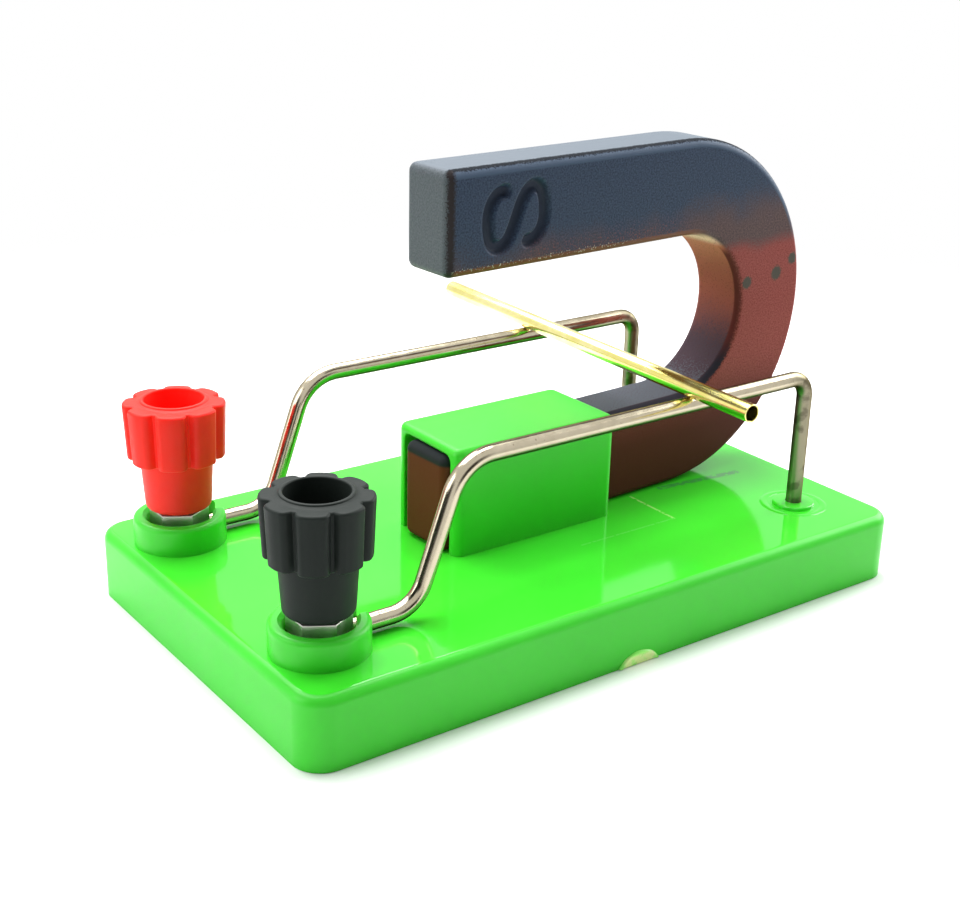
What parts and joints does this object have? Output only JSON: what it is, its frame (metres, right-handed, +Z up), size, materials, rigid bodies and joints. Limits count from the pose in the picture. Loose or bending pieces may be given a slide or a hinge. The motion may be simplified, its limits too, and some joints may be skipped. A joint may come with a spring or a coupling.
{
  "type": "ampere force apparatus",
  "caption": "Classroom ampere force apparatus: a brass tube on bent wire rails between the poles of a horseshoe magnet, on a green moulded base with red and black binding posts.",
  "frame": {"origin": "under the middle of the base, on the table", "axes": "+X from the binding posts to the rail legs, +Y from the black post to the red one, +Z up"},
  "size_m": [0.1056, 0.071, 0.0623],
  "materials": {
    "green_plastic": "glossy moulded plastic",
    "red_plastic": "satin moulded plastic",
    "black_plastic": "satin moulded plastic",
    "magnet_paint": "sprayed lacquer, blue at one pole and red-brown at the other",
    "nickel_wire": "nickel-plated drawn wire",
    "plated_steel": "bright plated steel",
    "brass": "bright drawn brass"
  },
  "bodies": {
    "stand": {"base": "green_plastic", "black_rail": "nickel_wire", "red_rail": "nickel_wire", "black_post_screw": "plated_steel", "red_post_screw": "plated_steel", "black_post_washer": "plated_steel", "red_post_washer": "plated_steel", "black_post_nut": "plated_steel", "red_post_nut": "plated_steel"},
    "horseshoe": {"magnet": "magnet_paint"},
    "conductor": {"rolling_tube": "brass"},
    "black_carrier": {"black_knob_insert": "brass"},
    "red_carrier": {"red_knob_insert": "brass"},
    "black_grip": {"black_knob": "black_plastic"},
    "red_grip": {"red_knob": "red_plastic"}
  },
  "joints": [
    {"name": "tube_travel", "type": "slide", "parent": "stand", "child": "conductor", "axis": [1, 0, 0], "range_m": [-0.033, 0.019]},
    {"name": "magnet_draw", "type": "slide", "parent": "stand", "child": "horseshoe", "axis": [0.9986, 0.0523, 0], "range_m": [-0.002, 0.03]},
    {"name": "black_knob_lift", "type": "slide", "parent": "stand", "child": "black_carrier", "axis": [0, 0, 1], "range_m": [0, 0.0028]},
    {"name": "red_knob_lift", "type": "slide", "parent": "stand", "child": "red_carrier", "axis": [0, 0, 1], "range_m": [0, 0.0028]},
    {"name": "black_knob_turn", "type": "hinge", "parent": "black_carrier", "child": "black_grip", "pos_m": [-0.042, -0.019, 0.02], "axis": [0, 0, 1], "range_deg": [0, 1441]},
    {"name": "red_knob_turn", "type": "hinge", "parent": "red_carrier", "child": "red_grip", "pos_m": [-0.042, 0.019, 0.02], "axis": [0, 0, 1], "range_deg": [0, 1441]}
  ],
  "couplings": [
    {"joint": "black_knob_turn", "follows": "black_knob_lift", "rad_per_m": 8976},
    {"joint": "red_knob_turn", "follows": "red_knob_lift", "rad_per_m": 8976}
  ]
}
